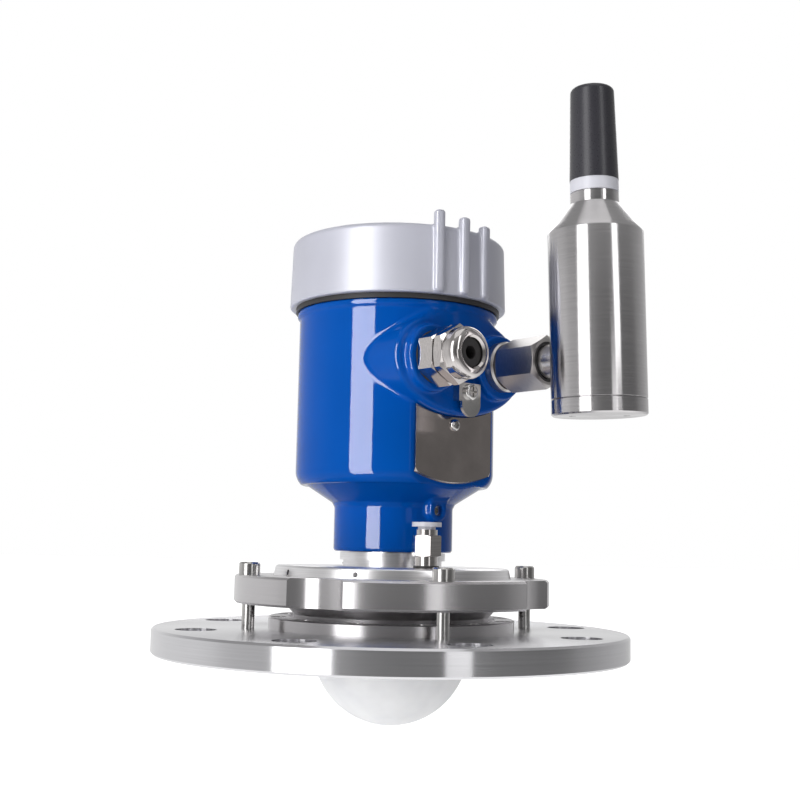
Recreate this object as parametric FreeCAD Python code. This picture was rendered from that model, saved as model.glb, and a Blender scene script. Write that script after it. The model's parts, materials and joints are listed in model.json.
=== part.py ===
import FreeCAD, Part
import math
import os

os.makedirs("parts", exist_ok=True)

# Gaps between parts
run_gap = 0.06
seat_gap = 0.10
free_gap = 0.50

# Process flange, four inch class 150, with its bottom face at height zero
flange_od = 228.6
flange_t = 12.0
hole_edge = 19.05
hole_circle = flange_od - 2 * hole_edge
hole_d = 19.05
hole_count = 8
hole_turn = 19.75

# Ball joint: one centre, an upper sphere held by the clamp, a lower sphere in the seat
ball_z = 27.0
ball_r = 58.5
skirt_step = 10.5
skirt_r = ball_r - skirt_step
ball_low = 5.0
ball_top = 42.0
shoulder_z = 24.3
slope_out = 4.6
shoulder_in = 1.1
liner_t = 1.44
liner_low = 5.0
liner_top = 14.0

# Seat ring and its countersunk screws
seat_wall = 11.4
seat_r = skirt_r + seat_wall
seat_rise = 5.4
seat_low = 4.6
seat_land_w = 8.6
seat_land_r = seat_r - seat_land_w
screw_edge = 4.5
screw_circle_r = seat_r - screw_edge
bore_step = 7.8
bore_r = seat_r - bore_step
screw_count = 12
screw_turn = 12.5
screw_r = 2.0
screw_head_r = 3.7

# Clamp ring with four scallops and its four bolts
clamp_wall = 17.6
clamp_r = ball_r + clamp_wall
clamp_low = 23.9
clamp_t = 13.1
bolt_edge = 5.6
bolt_circle_r = clamp_r - bolt_edge
bolt_count = 4
bolt_turn = 18.0
bolt_r = 3.0
bolt_head_r = 5.0
bolt_head_t = 6.0
scallop_r = 23.5
scallop_depth = 6.0

# Lens antenna
lens_inset = 10.1
lens_r = skirt_r - lens_inset
lens_z = 4.3
lens_step = 4.9
lens_shank_r = lens_r - lens_step
horn_step = 2.0
horn_r = lens_shank_r - horn_step
horn_wall = 2.0
horn_low = 15.1
horn_top = 31.9
guide_r = 4.0

# Adapter between ball and housing
adapter_r = 21.0
adapter_waist_r = 24.0
adapter_collar_r = 25.6
adapter_waist_top = 44.9
adapter_top = 74.0
adapter_bore_r = 11.0
adapter_thread_r = 20.0
lock_z = 68.7

# Housing
neck_r = 28.95
neck_low = 48.95
neck_top = 71.5
cone_top = 83.5
barrel_r = 48.4
collar_r = 49.6
collar_low = 162.5
collar_top = 165.3
cavity_r = 43.4
cavity_low = 90.0
spigot_r = 46.6
spigot_top = 181.0
flat_u = 41.0
wall_t = 3.8

# Nose with two parallel cable ports, turned from the front toward the right
nose_turn = 41.0
port_z = 137.3
port_v = 21.6
nose_a = 42.0
nose_b = 24.5
nose_u = 47.0
port_collar_r = 15.5
port_collar_u = 51.5
port_r = 10.0

# Cover
cover_low = 167.7
cover_top = 200.5
cover_low_r = 53.5
cover_top_r = 52.7
rib_w = 4.8
rib_out_r = 55.6
rib_in_r = 50.8
rib_round = 1.6
rib_step = 14.5
rib_turn = 34.5

# Cable gland
gland_af = 24.0
gland_hex_u = 52.3
gland_nut_u = 62.2
gland_end_u = 75.7
gland_hole_r = 6.65

# Union and radio unit
union_af = 22.0
union_collar_r = 12.0
union_nut_u = 57.6
union_end_u = 81.0
stub_r = 8.0
stub_free = 7.9
radio_lean = 2.2
radio_r = 21.2
radio_u = union_end_u + stub_free + radio_r
radio_wall = 1.5
radio_low = -26.9
radio_band = 7.0
radio_seam = 0.3
radio_shoulder = 54.7
radio_neck = 67.8
radio_neck_top = 72.5
radio_neck_r = 10.8
band_top = 78.4
mast_top = 121.2
mast_top_r = 9.85

# Purge fitting for a 6 mm tube
purge_turn = 18.8
purge_inset = 12.0
purge_circle_r = ball_r - purge_inset
purge_af = 12.0
purge_tube_r = 3.05
purge_collar_r = 6.75
purge_travel = 1.2


def vec(x, y, z):
    return FreeCAD.Vector(x, y, z)


# Build a closed profile of radius and height points and turn it about the vertical axis
def turned(points):
    edges = []
    here = points[0]
    for step in points[1:] + [points[0]]:
        if len(step) == 4:
            end = (step[2], step[3])
            a = vec(here[0], 0, here[1])
            m = vec(step[0], 0, step[1])
            b = vec(end[0], 0, end[1])
            edges.append(Part.Arc(a, m, b).toShape())
        else:
            end = step
            if abs(end[0] - here[0]) + abs(end[1] - here[1]) < 1e-6:
                continue
            edges.append(Part.makeLine(vec(here[0], 0, here[1]), vec(end[0], 0, end[1])))
        here = end
    face = Part.Face(Part.Wire(edges))
    return face.revolve(vec(0, 0, 0), vec(0, 0, 1), 360)


# Radius of a sphere about the ball centre at one height
def ball_at(radius, z):
    return math.sqrt(radius * radius - (z - ball_z) ** 2)


# Arc step on a sphere about the ball centre
def ball_arc(radius, z0, z1):
    zm = (z0 + z1) / 2
    return (ball_at(radius, zm), zm, ball_at(radius, z1), z1)


# Quarter round step from one point to another, bulging toward the given corner
def round_to(p0, corner, p1):
    k = 1 - math.sqrt(0.5)
    cx = p0[0] + p1[0] - corner[0]
    cz = p0[1] + p1[1] - corner[1]
    mx = corner[0] + (cx - corner[0]) * k
    mz = corner[1] + (cz - corner[1]) * k
    return (mx, mz, p1[0], p1[1])


def cyl(r, z0, z1, x=0.0, y=0.0):
    return Part.makeCylinder(r, z1 - z0, vec(x, y, z0), vec(0, 0, 1))


def cone(r0, r1, z0, z1, x=0.0, y=0.0):
    return Part.makeCone(r0, r1, z1 - z0, vec(x, y, z0), vec(0, 0, 1))


def tube(r_out, r_in, z0, z1):
    return cyl(r_out, z0, z1).cut(cyl(r_in, z0 - 1, z1 + 1))


def box(x0, x1, y0, y1, z0, z1):
    return Part.makeBox(x1 - x0, y1 - y0, z1 - z0, vec(x0, y0, z0))


def torus(r_ring, r_cord, z):
    return Part.makeTorus(r_ring, r_cord, vec(0, 0, z), vec(0, 0, 1))


# Point on a circle, turned from the front toward the right
def on_circle(radius, degrees):
    a = math.radians(degrees)
    return radius * math.sin(a), -radius * math.cos(a)


# Hexagonal bar with chamfered corners at both ends
def hex_bar(af, z0, z1, corner_turn, chamfer):
    corner = af / math.sqrt(3)
    pts = []
    for i in range(7):
        x, y = on_circle(corner, corner_turn + 60 * i)
        pts.append(vec(x, y, z0))
    bar = Part.Face(Part.makePolygon(pts)).extrude(vec(0, 0, z1 - z0))
    low = corner - chamfer
    rise = chamfer * 0.55
    limit = turned([(0, z0), (low, z0), (corner, z0 + rise), (corner, z1 - rise), (low, z1), (0, z1)])
    return bar.common(limit)


def hex_socket(af, z0, z1):
    return hex_bar(af, z0, z1, 0, 0.01)


def fuse(first, others):
    for s in others:
        first = first.fuse(s)
    return first.removeSplitter()


def cut(first, others):
    for s in others:
        first = first.cut(s)
    return first


# Directions of the nose: out along the ports, across to the right, and up
turn_rad = math.radians(nose_turn)
out_dir = vec(math.sin(turn_rad), -math.cos(turn_rad), 0)
side_dir = vec(math.cos(turn_rad), math.sin(turn_rad), 0)


# Move a shape drawn along the vertical so that it lies along the nose
def to_nose(shape, v, z):
    o = out_dir
    s = side_dir
    t = s * v
    m = FreeCAD.Matrix(s.x, 0, o.x, t.x, s.y, 0, o.y, t.y, 0, 1, 0, z, 0, 0, 0, 1)
    moved = shape.copy()
    moved.Placement = FreeCAD.Placement(m).multiply(shape.Placement)
    return moved


# Swing and move a shape of the radio unit drawn upright at its own union height
def to_radio(shape):
    place = FreeCAD.Placement(out_dir * radio_u + side_dir * port_v + vec(0, 0, port_z),
                              FreeCAD.Rotation(out_dir, radio_lean))
    moved = shape.copy()
    moved.Placement = place.multiply(shape.Placement)
    return moved


def save(name, shape):
    shape.exportStep("parts/" + name + ".step")


def save_set(name, shapes):
    Part.makeCompound(shapes).exportStep("parts/" + name + ".step")


def circle_of(count, radius, first):
    return [on_circle(radius, first + i * 360.0 / count) for i in range(count)]


# Process flange: plate with bore, eight bolt holes and tapped holes for the joint
e = 1.0
r = flange_od / 2
flange = turned([(bore_r, 0), (r - e, 0), (r, e), (r, flange_t - e), (r - e, flange_t),
                 (bore_r, flange_t)])
holes = [cyl(hole_d / 2, -1, flange_t + 1, x, y)
         for x, y in circle_of(hole_count, hole_circle / 2, hole_turn)]
tap_low = flange_t - 9.0
holes += [cyl(bolt_r + seat_gap, tap_low, flange_t + 1, x, y)
          for x, y in circle_of(bolt_count, bolt_circle_r, bolt_turn)]
holes += [cyl(screw_r + seat_gap, flange_t - 7.0, flange_t + 1, x, y)
          for x, y in circle_of(screw_count, screw_circle_r, screw_turn)]
flange = cut(flange, holes)
save("process_flange", flange)

# Seat ring: collar on the flange with a spigot in its bore and a spherical seat
seat_top = flange_t + seat_rise
seat_in = skirt_r + liner_t + 2 * run_gap
spigot_out = bore_r - seat_gap
seat_arc_top = 14.6
seat = turned([
    (ball_at(seat_in, seat_low), seat_low), (spigot_out, seat_low), (spigot_out, flange_t),
    (seat_r, flange_t), (seat_r, seat_top - 0.5), (seat_r - 0.5, seat_top), (seat_land_r, seat_top),
    (ball_at(seat_in, seat_arc_top), seat_arc_top), ball_arc(seat_in, seat_arc_top, seat_low)])
head_t = screw_head_r - screw_r
for x, y in circle_of(screw_count, screw_circle_r, screw_turn):
    seat = seat.cut(cyl(screw_r + seat_gap, flange_t - 1, seat_top + 1, x, y))
    seat = seat.cut(cone(screw_r + seat_gap, screw_head_r + seat_gap,
                         seat_top - head_t - 0.3, seat_top - 0.3, x, y))
    seat = seat.cut(cyl(screw_head_r + seat_gap, seat_top - 0.3, seat_top + 1, x, y))
groove_z = 8.0
seat = seat.cut(tube(spigot_out + 1, spigot_out - 1.8, groove_z - 1.1, groove_z + 1.1))
save("seat_ring", seat)
save("seat_seal", torus(spigot_out - 0.9 + 0.05, 0.93, groove_z))

# Countersunk screws of the seat ring
screws = []
for x, y in circle_of(screw_count, screw_circle_r, screw_turn):
    s = cyl(screw_r, flange_t - 6.5, seat_top - head_t - 0.3, x, y)
    s = s.fuse(cone(screw_r, screw_head_r, seat_top - head_t - 0.3, seat_top - 0.3, x, y))
    socket = hex_socket(2.5, seat_top - 1.6, seat_top + 1)
    socket.translate(vec(x, y, 0))
    screws.append(s.cut(socket))
save_set("seat_screws", screws)

# Clamp ring: scalloped ring whose bore holds the upper sphere down
clamp_in = ball_r + run_gap
clamp_top = clamp_low + clamp_t
e = 1.0
clamp = turned([
    (ball_at(clamp_in, clamp_low), clamp_low), (clamp_r - e, clamp_low), (clamp_r, clamp_low + e),
    (clamp_r, clamp_top - e), (clamp_r - e, clamp_top), (ball_at(clamp_in, clamp_top), clamp_top),
    ball_arc(clamp_in, clamp_top, clamp_low)])
scallop_at = clamp_r - scallop_depth + scallop_r
for x, y in circle_of(bolt_count, scallop_at, bolt_turn + 45):
    clamp = clamp.cut(cyl(scallop_r, clamp_low - 1, clamp_top + 1, x, y))
for x, y in circle_of(bolt_count, bolt_circle_r, bolt_turn):
    clamp = clamp.cut(cyl(bolt_r + 0.3, clamp_low - 1, clamp_top + 1, x, y))
save("clamp_ring", clamp)

# Socket head bolts of the clamp ring
bolts = []
for x, y in circle_of(bolt_count, bolt_circle_r, bolt_turn):
    top = clamp_top + bolt_head_t
    head = turned([(0, clamp_top), (bolt_head_r, clamp_top), (bolt_head_r, top - 0.7),
                   (bolt_head_r - 0.7, top), (0, top)])
    head = head.fuse(cyl(bolt_r, tap_low + 1.0, clamp_top))
    head = head.cut(hex_socket(5.0, top - 3.2, top + 1))
    head.translate(vec(x, y, 0))
    bolts.append(head)
save_set("clamp_bolts", bolts)

# Liner: thin spherical shell that slides in the seat and carries the ball
liner_in = skirt_r + run_gap
liner_out = liner_in + liner_t
liner = turned([
    (ball_at(liner_in, liner_low), liner_low), (ball_at(liner_out, liner_low), liner_low),
    ball_arc(liner_out, liner_low, liner_top), (ball_at(liner_in, liner_top), liner_top),
    ball_arc(liner_in, liner_top, liner_low)])
save("swivel_liner", liner)

# Ball: skirt sphere, sloping shoulder, clamped sphere and a flat top
skirt_top = 18.6
edge_z = ball_top - 2.2
rim = (ball_at(ball_r, edge_z) - 2.2, ball_top)
corner = (ball_at(ball_r, edge_z), ball_top)
thread_in = adapter_thread_r + seat_gap
shank_in = lens_shank_r + seat_gap
horn_in = horn_r + seat_gap
ball = turned([
    (shank_in, ball_low), (ball_at(skirt_r, ball_low), ball_low), ball_arc(skirt_r, ball_low, skirt_top),
    (skirt_r + slope_out, shoulder_z), (ball_r - shoulder_in, shoulder_z),
    (ball_at(ball_r, shoulder_z + 0.9), shoulder_z + 0.9),
    ball_arc(ball_r, shoulder_z + 0.9, edge_z),
    round_to((ball_at(ball_r, edge_z), edge_z), corner, rim),
    (thread_in, ball_top), (thread_in, horn_top), (horn_in, horn_top), (horn_in, horn_low),
    (shank_in, horn_low)])
px, py = on_circle(purge_circle_r, purge_turn)
ball = ball.cut(cyl(4.9 + seat_gap, ball_top - 8.0, ball_top + 1, px, py))
qx, qy = on_circle(skirt_r - 7.6, purge_turn)
drill_from = vec(px, py, ball_top - 7.5)
drill_to = vec(qx, qy, ball_low - 1.0)
drill = Part.makeCylinder(1.4, (drill_to - drill_from).Length, drill_from, drill_to - drill_from)
ball = ball.cut(drill)
for turn in (-58, -17, 122, 163):
    x, y = on_circle(1.0, turn)
    deep_r = ball_r - 5.0
    hole = Part.makeCylinder(1.2, 8.0, vec(x * deep_r, y * deep_r, ball_top - 3.2), vec(x, y, 0))
    ball = ball.cut(hole)
save("swivel_ball", ball)

# Lens: dome below the ball with a shank in its bore, and its seal
lens = turned([
    (0, lens_z - lens_r), (lens_r * math.sqrt(0.5), lens_z - lens_r * math.sqrt(0.5), lens_r, lens_z),
    (lens_r, ball_low), (lens_shank_r, ball_low), (lens_shank_r, horn_low - 0.1),
    (0, horn_low - 0.1)])
lens = lens.cut(tube(lens_shank_r + 1, lens_shank_r - 1.7, 8.9, 11.1))
save("lens", lens)
save("lens_seal", torus(lens_shank_r - 0.8, 0.85, 10.0))

# Feed horn above the lens and the waveguide tube into the adapter
horn = turned([(horn_r - horn_wall, horn_low), (horn_r, horn_low), (horn_r, horn_top - 0.1),
               (guide_r + seat_gap, horn_top - 0.1), (guide_r + seat_gap, 28.0)])
save("feed_horn", horn)
save("waveguide", tube(guide_r, 2.0, 28.5, 62.0))

# Adapter: threaded foot, waist, collar and a long spigot with seal and lock grooves
neck_gap = 0.35
adapter_collar_top = neck_low - neck_gap
adapter = fuse(cyl(adapter_thread_r, horn_top + 0.1, ball_top), [
    cyl(adapter_waist_r, ball_top, adapter_waist_top),
    cyl(adapter_collar_r, adapter_waist_top, adapter_collar_top),
    cyl(adapter_r, adapter_collar_top, adapter_top)])
adapter = adapter.cut(cyl(adapter_bore_r, horn_top, adapter_top + 1))
adapter = adapter.cut(tube(adapter_r + 1, adapter_r - 2.0, lock_z - 2.8, lock_z + 2.8))
ring_zs = (54.0, 60.0)
for z in ring_zs:
    adapter = adapter.cut(tube(adapter_r + 1, adapter_r - 1.9, z - 1.1, z + 1.1))
save("neck_adapter", adapter)
save_set("neck_seals", [torus(adapter_r - 0.95, 0.92, z) for z in ring_zs])

# Purge fitting: screwed body, seal ring under it and sliding release collar
seal_top = ball_top + 1.2
hex_low = 47.4
hex_top = 57.0
body_top = 59.4
collar_low_z = body_top + purge_travel + 0.2
body = fuse(cyl(4.9, ball_top - 7.0, seal_top), [
    cyl(5.1, seal_top, hex_low), hex_bar(purge_af, hex_low, hex_top, 12.4, 0.9),
    cyl(4.9, hex_top, body_top)])
body = cut(body, [cyl(1.6, ball_top - 8, body_top), cyl(purge_tube_r, 47.0, body_top + 1),
                  cyl(4.0 + run_gap, 50.5, body_top + 1)])
body.translate(vec(px, py, 0))
save("purge_body", body)
seal = tube(5.8, 4.9 + 0.05, ball_top, seal_top)
seal.translate(vec(px, py, 0))
save("purge_seal", seal)
release = fuse(cyl(purge_collar_r, collar_low_z, collar_low_z + 2.0), [cyl(4.0, 52.2, collar_low_z)])
release = release.cut(cyl(purge_tube_r, 50, collar_low_z + 3))
release.translate(vec(px, py, 0))
save("purge_collar", release)

# Housing shell: neck, cone, barrel with one flat side and the threaded spigot
rb = barrel_r
shell = turned([
    (0, neck_low), (neck_r - 0.8, neck_low), (neck_r, neck_low + 0.8), (neck_r, neck_top - 1.5),
    (neck_r + 1.2, neck_top + 0.8), (rb - 3.2, cone_top - 1.6),
    (rb - 0.8, cone_top + 1.0, rb, cone_top + 3.6), (rb, collar_low - 1.0), (collar_r, collar_low + 0.4),
    (collar_r, collar_top - 0.4), (collar_r - 0.4, collar_top), (spigot_r, collar_top),
    (spigot_r, spigot_top - 1), (spigot_r - 1, spigot_top), (0, spigot_top)])
flat_cut = to_nose(box(-30, 30, -75, -5, flat_u, flat_u + 20), 0, port_z)
shell = shell.cut(flat_cut)

# Nose: oval boss with rounded front edge and a collar at each port
oval = Part.Ellipse(vec(0, 0, 8.0), nose_a, nose_b).toShape()
nose = Part.Face(Part.Wire([oval])).extrude(vec(0, 0, nose_u - 8.0))
front = [ed for ed in nose.Edges if ed.BoundBox.ZMin > nose_u - 0.01]
nose = nose.makeFillet(2.6, front)
shell = shell.fuse(to_nose(nose, 0, port_z))
for v in (-port_v, port_v):
    rim_shape = turned([(0, 30), (port_collar_r, 30), (port_collar_r, port_collar_u - 1.2),
                        (port_collar_r - 1.2, port_collar_u), (0, port_collar_u)])
    shell = shell.fuse(to_nose(rim_shape, v, port_z))

# Lug of the lock screw under the cone
lug_half = 5.2
lug_in = adapter_r + 1.0
lug_out = lug_in + 10.6
lug = fuse(cyl(lug_half, lug_in, lug_out), [box(-lug_half, lug_half, 0, 9.0, lug_in, lug_out)])
shell = shell.fuse(to_nose(lug, 0, lock_z))

# Hollow out the housing
room = cyl(cavity_r, cavity_low, collar_low - 8)
room = room.cut(to_nose(box(-60, 60, -90, 90, flat_u - wall_t, flat_u + 30), 0, port_z))
room = room.fuse(cyl(cavity_r, collar_low - 8, spigot_top + 1))
shell = cut(shell, [room, cyl(adapter_r + run_gap, neck_low - 1, adapter_top + 1.5),
                    cyl(14.0, adapter_top, cavity_low + 1)])
for v in (-port_v, port_v):
    shell = shell.cut(to_nose(cyl(port_r, 20.0, port_collar_u + 1), v, port_z))
shell = shell.cut(to_nose(cyl(2.5 + seat_gap, 15.0, 40.0), 0, lock_z))
plate_screw_z = 108.6
shell = shell.cut(to_nose(cyl(1.5 + seat_gap, flat_u - 2.6, flat_u + 1), 0, plate_screw_z))
tab_screw_z = 123.6
shell = shell.cut(to_nose(cyl(2.0 + seat_gap, nose_u - 9.0, nose_u + 1), 1.0, tab_screw_z))
shell = shell.removeSplitter()
save("housing", shell)

# Lock screw in the neck lug, its tip in the adapter groove
lock_end = lug_out - 2.0
lock = fuse(cyl(2.5, lug_in, lock_end), [cyl(1.9, adapter_r - 1.5, lug_in)])
lock = lock.cut(hex_socket(2.5, lock_end - 2.2, lock_end + 0.4))
save("lock_screw", to_nose(lock, 0, lock_z))

# Bare nameplate on the flat side, trimmed to the cone below and to the nose above
plate_t = 1.0
trim = turned([(0, neck_top), (neck_r, neck_top + 1.4), (rb - 0.6, cone_top + 2.2),
               (rb + 0.4, cone_top + 5.0), (rb + 0.4, 130), (0, 130)])
plate = to_nose(box(-24.3, 24.3, -75, -10, flat_u, flat_u + plate_t), 0, port_z).common(trim)
big = Part.Ellipse(vec(0, 0, 8.0), nose_a + 0.5, nose_b + 0.5).toShape()
keep_off = Part.Face(Part.Wire([big])).extrude(vec(0, 0, 60))
plate = plate.cut(to_nose(keep_off, 0, port_z))
plate = plate.cut(to_nose(cyl(1.7, flat_u - 1, flat_u + 3), 0, plate_screw_z))
save("nameplate", plate)
pin_top = flat_u + plate_t + 1.7
pin = turned([(0, flat_u - 2.4), (1.5, flat_u - 2.4), (1.5, flat_u + plate_t), (2.8, flat_u + plate_t),
              (2.8, pin_top - 1.0), (2.0, pin_top - 0.15, 1.2, pin_top), (0, pin_top)])
pin = pin.cut(box(-0.35, 0.35, -1.7, 1.7, pin_top - 0.9, pin_top + 1))
pin = pin.cut(box(-1.7, 1.7, -0.35, 0.35, pin_top - 0.9, pin_top + 1))
save("nameplate_screw", to_nose(pin, 0, plate_screw_z))

# Ground terminal: block with a rounded tongue, and its screw
tab_t = 4.0
drop = tab_screw_z - port_z
tab = box(-6.0, 8.0, drop - 4.5, drop + 4.2, nose_u, nose_u + tab_t)
tongue = box(-4.0, 8.0, drop - 6.5, drop - 4.0, nose_u + tab_t - 1.5, nose_u + tab_t)
tip = cyl(6.0, nose_u + tab_t - 1.5, nose_u + tab_t, 2.0, drop - 5.5)
tab = fuse(tab, [tongue, tip])
tab = tab.cut(cyl(2.2, nose_u - 1, nose_u + 6, 1.0, drop))
save("ground_tab", to_nose(tab, 0, port_z))
top = nose_u + tab_t + 2.2
ground = turned([(0, nose_u - 8.5), (2.0, nose_u - 8.5), (2.0, nose_u + tab_t), (3.8, nose_u + tab_t),
                 (3.8, top - 1.0), (3.0, top - 0.2, 2.0, top), (0, top)])
ground = ground.cut(box(-0.45, 0.45, -2.4, 2.4, top - 1.1, top + 1))
ground = ground.cut(box(-2.4, 2.4, -0.45, 0.45, top - 1.1, top + 1))
save("ground_screw", to_nose(ground, 1.0, tab_screw_z))

# Cover seal on the collar
seal_r = 50.5
save("cover_seal", tube(seal_r, spigot_r + seat_gap, collar_top, cover_low - 0.1))

# Cover: cup with a threaded skirt and two groups of three grip ribs
cover = turned([
    (0, cover_low), (cover_low_r - 0.5, cover_low), (cover_low_r, cover_low + 0.5),
    (cover_top_r, cover_top - 3.0),
    round_to((cover_top_r, cover_top - 3.0), (cover_top_r, cover_top),
             (cover_top_r - 3.0, cover_top)),
    (0, cover_top)])
ribs = []
for side in (0, 180):
    for i, rise in ((-1, 6.4), (0, 4.6), (1, 2.8)):
        rt = cover_top + rise
        half = rib_w / 2
        rib = box(-half, half, -rib_out_r, -rib_in_r, cover_low + 0.6, rt)
        rib = rib.makeFillet(rib_round, [ed for ed in rib.Edges if ed.BoundBox.ZMax > rt - 0.01])
        rib.rotate(vec(0, 0, 0), vec(0, 0, 1), rib_turn + i * rib_step + side)
        ribs.append(rib)
cover = fuse(cover, ribs)
cover = cut(cover, [cyl(spigot_r + run_gap, cover_low - 1, spigot_top + 2),
                    cyl(44.0, spigot_top, cover_top - 5)])
save("cover", cover)

# Electronics cup, its lid, two boards on posts and the terminal block
cup_r = 35.6
cup_top = cavity_low + 44.0
board_r = 31.0
board_t = 1.6
signal_z = cavity_low + 12.0
power_z = cavity_low + 30.0
cup = tube(cup_r, cup_r - 2.2, cavity_low, cup_top).fuse(cyl(cup_r, cavity_low, cavity_low + 2.5))
post_r = 27.0
posts = [tube(2.4, 1.3, cavity_low + 2.5, signal_z) for i in range(3)]
for p, (x, y) in zip(posts, circle_of(3, post_r, 0)):
    p.translate(vec(x, y, 0))
cup = cup.cut(cyl(3.5, cavity_low - 1, cavity_low + 4))
cup = cup.removeSplitter()
save("electronics_cup", cup)
save_set("board_posts", posts)
signal_top = signal_z + board_t
board = cyl(board_r, signal_z, signal_top)
board = board.cut(cyl(3.0, signal_z - 1, signal_top + 1))
board = cut(board, [cyl(1.5, signal_z - 1, signal_top + 1, x, y) for x, y in circle_of(3, post_r, 0)])
chips = [box(-9, 9, -9, 9, signal_top, signal_top + 2.4), box(13, 21, -6, 6, signal_top, signal_top + 1.6),
         box(-22, -13, -4, 4, signal_top, signal_top + 5.4), box(6, 10, 12, 22, signal_top, signal_top + 3.4)]
board = fuse(board, chips)
save("signal_board", board)
pins = [cyl(1.2, signal_z - 4.5, signal_top, x, y).fuse(cyl(2.3, signal_top, signal_top + 1.8, x, y))
        for x, y in circle_of(3, post_r, 0)]
save_set("board_screws", pins)
power_top = power_z + board_t
power = cyl(board_r, power_z, power_top)
power = fuse(power, [cyl(5.0, power_top, power_top + 7.4, 12, 10),
                     cyl(4.0, power_top, power_top + 8.4, -14, -8),
                     box(-6, 6, -20, -10, power_top, power_top + 6.4)])
spacer_xy = circle_of(3, post_r, 60)
power = cut(power, [cyl(1.5, power_z - 1, power_top + 1, x, y) for x, y in spacer_xy])
save("power_board", power)
spacers = [cyl(2.4, signal_top, power_z, x, y).fuse(cyl(1.4, power_z, power_top + 1.8, x, y))
           for x, y in spacer_xy]
save_set("board_spacers", spacers)
cap = cyl(cup_r, cup_top, cup_top + 2.5)
cap = cap.cut(box(-4, 4, 18, 24, cup_top - 1, cup_top + 4))
save("cup_lid", cap)
block_low = cup_top + 2.5
block = box(-21, 21, -8, 8, block_low, block_low + 12)
for i in range(6):
    x = -17.5 + 7 * i
    block = block.cut(cyl(2.0, block_low + 5, block_low + 13, x, 0))
    block = block.cut(box(x - 1.6, x + 1.6, -9, -3.5, block_low + 1.5, block_low + 5.0))
save("terminal_block", block)
clips = []
for i in range(6):
    x = -17.5 + 7 * i
    s = cyl(1.9, block_low + 5, block_low + 10.5, x, 0)
    clips.append(s.cut(box(x - 2.5, x + 2.5, -0.35, 0.35, block_low + 9.6, block_low + 11)))
save_set("terminal_screws", clips)

# Cable gland: washer, body, rubber insert and dome nut
gv = -port_v
save("gland_washer", to_nose(tube(12.3, port_r + 0.1, port_collar_u, gland_hex_u), gv, port_z))
shank_r = port_r - seat_gap
gland_thread_r = 9.6
gland = fuse(cyl(shank_r, 38.6, gland_hex_u), [
    hex_bar(gland_af, gland_hex_u, gland_nut_u - 0.5, 0, 1.2), cyl(gland_thread_r, gland_nut_u - 0.5, 70.0)])
insert_r = 7.5
gland = cut(gland, [cyl(6.6, 38, 71), cyl(insert_r + seat_gap, 59.0, 71)])
save("gland_body", to_nose(gland, gv, port_z))
insert = turned([(3.0, 59.0), (insert_r, 59.0), (insert_r, 71.5), (insert_r - 0.9, 73.7), (3.0, 73.7)])
save("gland_insert", to_nose(insert, gv, port_z))
nut_hex_u = gland_nut_u + 5.6
nut_dome_r = gland_af / 2 - 0.2
nut_lip_r = gland_hole_r + 1.6
dome = turned([(0, nut_hex_u - 2), (nut_dome_r, nut_hex_u - 2), (nut_dome_r, gland_end_u - 4.6),
               (nut_dome_r - 1.0, gland_end_u - 1.3, nut_lip_r, gland_end_u), (0, gland_end_u)])
nut = hex_bar(gland_af, gland_nut_u, nut_hex_u, 0, 2.2).fuse(dome)
nut = cut(nut, [cyl(gland_thread_r + run_gap, gland_nut_u - 1, 70.4), cyl(insert_r + free_gap, 70.0, 74.2),
                cone(gland_hole_r, gland_hole_r + 0.9, gland_end_u - 0.9, gland_end_u + 0.001),
                cyl(gland_hole_r, 73, gland_end_u + 1)])
save("gland_nut", to_nose(nut, gv, port_z))

# Union: nipple in the second port, nut, wiper and seal
nip_thread_r = 9.8
nipple_end = 68.0
nipple = fuse(cyl(shank_r, 38.6, port_collar_u), [
    turned([(0, port_collar_u), (union_collar_r, port_collar_u), (union_collar_r, 55.6),
            (union_collar_r - 0.8, 56.6), (0, 56.6)]),
    cyl(nip_thread_r, 56.6, nipple_end)])
nipple = nipple.cut(cyl(5.0, 38, nipple_end + 1))
save("port_nipple", to_nose(nipple, port_v, port_z))
save("union_seal", to_nose(torus(7.0, 0.8, nipple_end + 0.8), port_v, port_z))
flange_u = nipple_end + 1.7
flange_end = flange_u + 3.0
lip_u = flange_end + 0.5
unut = hex_bar(union_af, union_nut_u, union_end_u, 0, 2.0)
unut = cut(unut, [cyl(nip_thread_r + run_gap, union_nut_u - 1, lip_u),
                  cyl(stub_r + run_gap, lip_u - 1, union_end_u + 1),
                  cyl(9.4, union_end_u - 1.5, union_end_u + 1)])
save("union_nut", to_nose(unut, port_v, port_z))
wiper = tube(9.3, stub_r + 0.3, union_end_u - 1.4, union_end_u + 0.1)
save("union_wiper", to_nose(wiper, port_v, port_z))

# Radio unit shell: steel can with shoulder cone and neck
rw = radio_r - radio_wall
neck_in = radio_neck_r - 2.2
can_low = radio_low + radio_band + radio_seam
can = turned([
    (rw, can_low), (radio_r - 0.2, can_low), (radio_r, can_low + 0.2),
    (radio_r, radio_shoulder - 0.4), (radio_r - 0.3, radio_shoulder + 0.3),
    (radio_neck_r, radio_neck), (radio_neck_r, radio_neck_top),
    (neck_in, radio_neck_top), (neck_in, radio_neck - 0.5), (rw, radio_shoulder - 1.2)])
side = Part.makeCylinder(6.5 + seat_gap, 30, vec(0, 0, 0), out_dir * -1)
can = can.cut(side)
save("radio_shell", to_radio(can))

# Stub of the radio unit: pipe from the can into the union nut
back = out_dir * -1


def along_stub(radius, u0, u1):
    return Part.makeCylinder(radius, u1 - u0, back * (radio_u - u1), back)


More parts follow.
